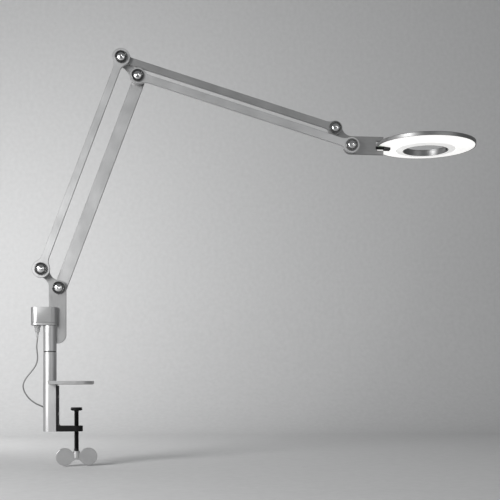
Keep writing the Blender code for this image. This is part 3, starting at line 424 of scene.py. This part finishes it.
def finish_nodes():
    # painted highlight: these round edges take the lighter edge satin
    refine("clamp_body upper_post", "upright", 0.25 * MM, "edge")
    refine("bracket_plate", "bracket", 0.2 * MM, "edge")
    refine("top_jaw", "level", 0.3 * MM, "edge")
    refine("driver_housing housing_base", "box", 0.3 * MM, "edge")
    refine("clamp_handle", "level", 0.5 * MM, "edge", 3)
    # painted shade: the arms' and the head's round edges take the darker edge satin
    refine("lower_arm", "lower", 0.2 * MM, "painted_shade_edge")
    refine("lower_rod", "rod", 0.2 * MM, "painted_shade_edge")
    refine("upper_arm", "upper", 0.2 * MM, "painted_shade_edge")
    refine("upper_rod", "upper_shaded", 0.2 * MM, "painted_shade_edge")
    refine("elbow_link", "link", 0.2 * MM, "painted_shade_edge")
    refine("head_link", "shaded_neck", 0.2 * MM, "painted_shade_edge")
    refine("head_housing", "head", 0.25 * MM, "painted_shade_edge")
    refine("head_collar", "collar", 0.15 * MM)
    refine("light_guide", "guide", 0.15 * MM)
    refine("inner_trim", "trim", 0.15 * MM)
    refine("led_board driver_board", "board", 0.1 * MM)
    refine("lower_jaw clamp_pad", "powder", 0.35 * MM)
    refine("pivot_block dc_socket swivel_bush", "plastic")
    refine("switch_button", "plastic", 0.3 * MM)
    refine("roll_pin", "blackened")
    refine("jaw_pad clamp_pad_rubber", "rubber", 0.2 * MM)
    refine("swivel_spindle jaw_screw_1 jaw_screw_2 bracket_screw_1 bracket_screw_2", "steel")
    refine("shoulder_pin elbow_pin elbow_rod_pin head_pin head_rod_pin lower_rod_foot_pin", "steel")
    refine("shoulder_washer elbow_washer elbow_rod_front_washer", "nylon")
    refine("elbow_rod_back_washer head_rod_washer", "nylon")
    refine("lower_rod_spacer elbow_spacer head_spacer", "level")
    refine("coil_tie", "tie", 0.4 * MM)


# ---------------------------------------------------------------- new pieces


def arc(centre, radius, start, end, count):
    """Points of an arc, both ends included, as (radius, height)."""
    return [
        (
            centre[0] + radius * cos(start + (end - start) * i / count),
            centre[1] + radius * sin(start + (end - start) * i / count),
        )
        for i in range(count + 1)
    ]


def new_piece(bm, name, look, body, sharp=radians(40)):
    bmesh.ops.recalc_face_normals(bm, faces=bm.faces)
    mesh = bpy.data.meshes.new(name)
    bm.to_mesh(mesh)
    bm.free()
    mesh.shade_smooth()
    mesh.set_sharp_from_angle(angle=sharp)
    mesh.materials.append(LOOK[look])
    piece = bpy.data.objects.new(name, mesh)
    bpy.context.scene.collection.objects.link(piece)
    if body:
        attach(piece, body)
    return piece


TO_AXIS = {
    "Z": Matrix.Identity(4),
    "-Y": Matrix.Rotation(pi / 2, 4, "X"),
}


def turned(name, profile, place, axis, look, body, steps=64):
    """Spins (radius, height) points round the axis. A profile that keeps off the axis is a closed ring."""
    bm = bmesh.new()
    verts = [bm.verts.new((r, 0, h)) for r, h in profile]
    edges = [bm.edges.new(pair) for pair in zip(verts, verts[1:])]
    if profile[0][0] > 0:
        edges.append(bm.edges.new((verts[-1], verts[0])))
    full = {"cent": (0, 0, 0), "axis": (0, 0, 1), "angle": 2 * pi, "steps": steps}
    bmesh.ops.spin(bm, geom=verts + edges, **full)
    bmesh.ops.remove_doubles(bm, verts=bm.verts, dist=1e-7)
    bmesh.ops.transform(bm, matrix=Matrix.Translation(place) @ TO_AXIS[axis], verts=bm.verts)
    return new_piece(bm, name, look, body)


def paint_rim_shade(cap, radius, middle):
    """Paints the faces outside the radius darker chrome: painted shade on the cap's rim."""
    cap.data.materials.append(LOOK["rim"])
    for polygon in cap.data.polygons:
        reach = Vector((polygon.center.x - middle.x, polygon.center.z - middle.z)).length
        if reach > radius:
            polygon.material_index = 1


def make_caps():
    """Polished pivot caps: a rounded rim, a groove, and a dome with a dimple."""
    rim = CAP_RIM_R
    top = CAP_RIM_HEIGHT
    bore, depth = CAP_BORE_R, CAP_BORE_DEPTH
    groove = CAP_GROOVE_HEIGHT
    dimple = CAP_DIMPLE_R
    for pivot in ("shoulder", "lower_rod_foot", "elbow", "elbow_rod", "head", "head_rod"):
        node = f"{pivot}_cap"
        low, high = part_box(node)
        middle = (low + high) / 2
        radius = (high.x - low.x) / 2
        height = high.y - low.y
        profile = [(0, depth), (bore, depth), (bore, 0), (radius - 0.2 * MM, 0), (radius, 0.2 * MM)]
        profile += arc((radius - rim, top - rim), rim, 0, pi / 2, 6)
        profile += arc((radius - 2.2 * MM, top - 0.3 * MM), 0.3 * MM, pi / 2, pi, 3)
        profile += [(radius - 2.7 * MM, groove), (radius - 3.6 * MM, groove)]
        dome = radius - 4.0 * MM
        rise = height - CAP_DOME_BASE
        for step in range(13):
            angle = step * pi / 2 / 14
            reach = dome * cos(angle)
            if reach > dimple + 0.5 * MM:
                profile.append((reach, CAP_DOME_BASE + rise * sin(angle)))
        profile += [(dimple + 0.2 * MM, height), (dimple, height - 0.15 * MM)]
        for step in range(1, 6):
            angle = step * pi / 12
            profile.append((dimple * cos(angle), height - 0.15 * MM - 1.1 * MM * sin(angle)))
        profile += [(0, height - 1.25 * MM)]
        place = (middle.x, high.y, middle.z)
        body = NODES[node]["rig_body"]
        cap = turned(f"{pivot}_polished_cap", profile, place, "-Y", "chrome", body)
        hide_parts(node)
        # painted shade: the outer rim of the cap gets the darker chrome
        paint_rim_shade(cap, radius - CAP_PAINTED_RIM_WIDTH, middle)


def make_threaded_screw():
    """The clamp screw with its real thread, a plain tip and a plain shank in the handle."""
    low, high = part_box("clamp_screw")
    radius = (high.x - low.x) / 2
    thread_low = low.z + SHANK_BELOW_THREAD
    thread_high = high.z - SCREW_NOSE
    rows = round((thread_high - thread_low) / THREAD_PITCH * THREAD_ROWS)
    bm = bmesh.new()
    rings = []

    def ring(z, radius_at):
        verts = []
        for i in range(THREAD_SIDES):
            angle = 2 * pi * i / THREAD_SIDES
            reach = radius_at(angle)
            verts.append(bm.verts.new((reach * cos(angle), reach * sin(angle), z)))
        rings.append(verts)

    tip = radius - 1.7 * MM
    ring(low.z, lambda angle: tip)
    ring(thread_low - SHANK - 0.2 * MM, lambda angle: tip)
    ring(thread_low - SHANK, lambda angle: radius)
    ring(thread_low - 0.2 * MM, lambda angle: radius)
    for row in range(rows + 1):
        z = thread_low + (thread_high - thread_low) * row / rows
        depth = min(1, (z - thread_low) / THREAD_FADE, (thread_high - z) / THREAD_FADE)

        def threaded(angle, z=z, depth=depth):
            phase = ((z - thread_low) / THREAD_PITCH - angle / (2 * pi)) % 1
            groove = abs(2 * phase - 1)
            return radius - THREAD_DEPTH * depth * groove

        ring(z, threaded)
    ring(high.z - 1 * MM, lambda angle: radius)
    ring(high.z, lambda angle: radius - 1 * MM)
    for first, second in zip(rings, rings[1:]):
        for i in range(THREAD_SIDES):
            j = (i + 1) % THREAD_SIDES
            bm.faces.new((first[i], first[j], second[j], second[i]))
    bm.faces.new(rings[0])
    bm.faces.new(rings[-1])
    screw = new_piece(bm, "threaded_screw", "blackened", "clamp_screw", radians(50))
    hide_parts("clamp_screw")


def make_post_rings():
    """Two fine turned lines under the swivel seam."""
    seam = PIVOTS["swivel"].z
    for number, drop in enumerate(POST_LINE_DROPS, 1):
        profile = arc((POST_R - 0.1 * MM, 0), POST_LINE_R, 0, 2 * pi, 10)[:-1]
        place = (POST_X, 0, seam - drop)
        # painted highlight: the turned lines take the lighter edge satin
        turned(f"post_line_{number}", profile, place, "Z", "edge", "clamp", 72)


def make_plug():
    """The plug with its collar and grip, and the ringed strain relief under it."""
    low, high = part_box("cord_plug")
    middle = (low + high) / 2
    radius = (high.x - low.x) / 2
    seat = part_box("housing_base")[0].z - 0.3 * MM
    profile = [(0, high.z), (BARREL_R - 0.3 * MM, high.z), (BARREL_R, high.z - 0.3 * MM), (BARREL_R, seat)]
    profile += [(radius - 0.4 * MM, seat), (radius, seat - 0.4 * MM), (radius, seat - 3.2 * MM)]
    profile += [(radius - 0.5 * MM, seat - 3.6 * MM)]
    grip = radius - 1.1 * MM
    for row in range(PLUG_ROWS):
        z = seat - 4.4 * MM - row * 1.7 * MM
        profile += [(grip, z), (grip, z - 0.7 * MM)]
        profile += [(grip - 0.5 * MM, z - 1.0 * MM), (grip - 0.5 * MM, z - 1.4 * MM)]
    profile += [(grip - 0.6 * MM, low.z + 0.8 * MM), (grip - 1.8 * MM, low.z), (0, low.z)]
    place = (middle.x, middle.y, 0)
    plug = turned("moulded_plug", profile, place, "Z", "clear", "post", 48)
    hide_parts("cord_plug")

    low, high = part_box("plug_boot")
    top_r = (high.x - low.x) / 2
    step = (high.z - low.z - 1 * MM) / BOOT_RINGS
    profile = [(0, high.z), (top_r, high.z)]
    for row in range(BOOT_RINGS):
        z = high.z - row * step
        outer = top_r + (BOOT_END_R - top_r) * (row + 0.5) / BOOT_RINGS
        profile += [(outer, z - 0.25 * step), (outer, z - 0.6 * step)]
        profile += [(outer - 0.45 * MM, z - 0.72 * step), (outer - 0.45 * MM, z - 0.95 * step)]
    profile += [(BOOT_END_R, low.z + 0.9 * MM), (BOOT_END_R - 0.3 * MM, low.z), (0, low.z)]
    boot = turned("strain_relief", profile, place, "Z", "clear", "post", 32)
    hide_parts("plug_boot")
    return plug, boot


def make_connector():
    """The connector that hangs from the coil: a ringed boot, a grip and a bare barrel."""
    low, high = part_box("cord_connector")
    middle = (low + high) / 2
    radius = (high.x - low.x) / 2
    profile = [(0, high.z), (BOOT_END_R, high.z)]
    for row in range(BOOT_RINGS):
        z = high.z - CONNECTOR_BOOT * row / BOOT_RINGS
        outer = BOOT_END_R + (radius - BOOT_END_R) * (row + 0.5) / BOOT_RINGS
        profile += [(outer - 0.3 * MM, z - 0.5 * MM), (outer, z - 0.9 * MM), (outer, z - 1.5 * MM)]
        profile += [(outer - 0.5 * MM, z - 1.8 * MM)]
    grip_top = high.z - CONNECTOR_BOOT - 0.4 * MM
    profile += [(radius - 0.4 * MM, grip_top), (radius, grip_top - 0.5 * MM)]
    grip_low = low.z + CONNECTOR_BARREL
    bore_end = low.z + CONNECTOR_BORE_DEPTH
    profile += [(radius, grip_low + 0.5 * MM), (radius - 0.5 * MM, grip_low), (BARREL_R, grip_low)]
    profile += [(BARREL_R, low.z + 0.3 * MM), (BARREL_R - 0.3 * MM, low.z), (CONNECTOR_BORE_R, low.z)]
    profile += [(CONNECTOR_BORE_R, bore_end), (0, bore_end)]
    place = (middle.x, middle.y, 0)
    connector = turned("connector", profile, place, "Z", "plastic", "clamp", 40)
    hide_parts("cord_connector")
    return connector


# ---------------------------------------------------------------- supply cord


def smooth(knots, steps):
    """Points on a Catmull-Rom curve through the knots."""
    padded = [2 * knots[0] - knots[1]] + list(knots) + [2 * knots[-1] - knots[-2]]
    points = []
    for i in range(1, len(padded) - 2):
        a, b, c, d = padded[i - 1 : i + 3]
        for step in range(steps):
            t = step / steps
            cubic = (3 * b - a - 3 * c + d) * t**3
            points.append(0.5 * (2 * b + (c - a) * t + (2 * a - 5 * b + 4 * c - d) * t**2 + cubic))
    points.append(padded[-2])
    return points


def ease(share):
    share = min(1.0, max(0.0, share))
    return share * share * (3 - 2 * share)


def turn_places():
    """Where each turn lies in the bundle's section, as (out, aside), row by row and back again."""
    rise = TURN_PITCH * sqrt(3) / 2
    places = []
    for row, count in enumerate(COIL_ROWS):
        outs = [(i - (count - 1) / 2) * TURN_PITCH for i in range(count)]
        if row % 2 == 0:
            outs.reverse()
        if count == 1:
            outs = [TURN_PITCH]
        places += [(out, (row - COIL_MIDDLE_ROW) * rise) for out in outs]
    return places


def cord_points():
    """The whole centreline: boot, free stretch, coil, and the tail down to the connector."""
    away = Vector((-sin(COIL_TURN), cos(COIL_TURN), 0))
    side = Vector((cos(COIL_TURN), sin(COIL_TURN), 0))
    centre = Vector((POST_X, 0, COIL_HEIGHT)) + away * COIL_DISTANCE
    down = Vector((0, 0, -1))

    def on_coil(angle, out, aside):
        radius = COIL_R + out
        return centre + (-away * cos(angle) + down * sin(angle)) * radius + side * aside

    knots = [Vector((POST_X + a * MM, b * MM, z * MM)) for a, b, z in CORD_ROUTE]
    places = turn_places()
    first = COIL_START
    last = 2 * pi * (len(places) - 1) + COIL_END
    coil = []
    count = round((last - first) / (2 * pi) * TURN_STEPS)
    for i in range(count + 1):
        angle = first + (last - first) * i / count
        turn = (angle + CROSSING) / (2 * pi)
        index = int(turn)
        share = ease((turn - index) * 2 * pi / (2 * CROSSING))
        a = Vector(places[max(0, index - 1)])
        b = Vector(places[min(index, len(places) - 1)])
        out, aside = a.lerp(b, share)
        coil.append(on_coil(angle, out, aside))

    low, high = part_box("cord_connector")
    hang = Vector(((low.x + high.x) / 2, (low.y + high.y) / 2, high.z))
    leave = coil[-1] + (coil[-1] - coil[-2]).normalized() * 4.5 * MM + down * 1.2 * MM
    tail = [coil[-1], leave, hang + Vector((0, 0, 4 * MM)), hang]
    start = smooth(knots + coil[:2], 4)[:-4]
    end = smooth([coil[-2]] + tail, 5)[6:]
    return start + coil + end


def tube(name, points, radius, look, sides=12):
    """A closed mesh tube along the points, its rings carried along without twist."""
    bm = bmesh.new()
    rings = []
    along = (points[1] - points[0]).normalized()
    across = along.orthogonal().normalized()
    for i, point in enumerate(points):
        before = points[max(0, i - 1)]
        after = points[min(len(points) - 1, i + 1)]
        heading = (after - before).normalized()
        across = (across - heading * across.dot(heading)).normalized()
        other = heading.cross(across)
        ring = []
        for k in range(sides):
            angle = 2 * pi * k / sides
            ring.append(bm.verts.new(point + (across * cos(angle) + other * sin(angle)) * radius))
        rings.append(ring)
    for one, two in zip(rings, rings[1:]):
        for k in range(sides):
            n = (k + 1) % sides
            bm.faces.new((one[k], one[n], two[n], two[k]))
    bm.faces.new(rings[0])
    bm.faces.new(rings[-1])
    return new_piece(bm, name, look, None)


def make_cord():
    points = cord_points()
    cord = tube("supply_cord", points, CORD_R, "cord")
    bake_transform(cord)
    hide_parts("cord", "cord_coil")
    plug, boot = make_plug()
    connector = make_connector()


# ---------------------------------------------------------------- studio


def make_camera():
    data = bpy.data.cameras.new("camera")
    data.sensor_width = 36
    data.lens = CAMERA_LENS
    data.shift_y = CAMERA_SHIFT
    camera = bpy.data.objects.new("camera", data)
    camera.location = CAMERA_PLACE
    camera.rotation_euler = (pi / 2, 0, CAMERA_TURN)
    bpy.context.scene.collection.objects.link(camera)
    bpy.context.scene.camera = camera


def make_stage():
    """A pale floor that sweeps up into a wall, so that no line shows behind the lamp."""
    floor = CAD_BOX[0].z - FLOOR_GAP
    profile = [(-STAGE_HALF, floor), (WALL_Y - SWEEP_R, floor)]
    for step in range(1, 17):
        angle = step * pi / 2 / 16
        profile.append((WALL_Y - SWEEP_R + SWEEP_R * sin(angle), floor + SWEEP_R * (1 - cos(angle))))
    profile.append((WALL_Y, floor + STAGE_HALF))
    bm = bmesh.new()
    rows = [[bm.verts.new((x, y, z)) for y, z in profile] for x in (-STAGE_HALF, STAGE_HALF)]
    for i in range(len(profile) - 1):
        bm.faces.new((rows[0][i], rows[1][i], rows[1][i + 1], rows[0][i + 1]))
    mesh = bpy.data.meshes.new("stage")
    bm.to_mesh(mesh)
    bm.free()
    mesh.shade_smooth()
    mesh.materials.append(moulded("stage_paper", 0.60, 0.64, 0.85, 0.95, 300, 0.05))
    stage = bpy.data.objects.new("stage", mesh)
    bpy.context.scene.collection.objects.link(stage)


def add_light(name, place, target, size, watts):
    data = bpy.data.lights.new(name, "AREA")
    data.shape = "DISK"
    data.size = size
    data.energy = watts
    light = bpy.data.objects.new(name, data)
    light.location = place
    light.rotation_euler = (Vector(target) - Vector(place)).to_track_quat("-Z", "Y").to_euler()
    bpy.context.scene.collection.objects.link(light)


def make_lights():
    middle = (CAD_BOX[0] + CAD_BOX[1]) / 2
    add_light("key", (-1.3, -1.3, 0.7), (POST_X, 0, 0.2), 0.9, 41)
    add_light("fill", (1.6, -1.9, 0.7), middle, 1.6, 6)
    add_light("wall", (-0.6, 0.5, 0.5), (0.05, WALL_Y, 0.2), 0.8, 5.2)
    world = bpy.data.worlds.new("studio")
    world.use_nodes = True
    world.node_tree.nodes["Background"].inputs["Color"].default_value = WORLD_COLOUR
    world.node_tree.nodes["Background"].inputs["Strength"].default_value = WORLD_STRENGTH
    bpy.context.scene.world = world
    bpy.context.scene.view_settings.view_transform = "Standard"


make_camera()
make_cord()
finish_nodes()
make_caps()
make_threaded_screw()
make_post_rings()
make_stage()
make_lights()
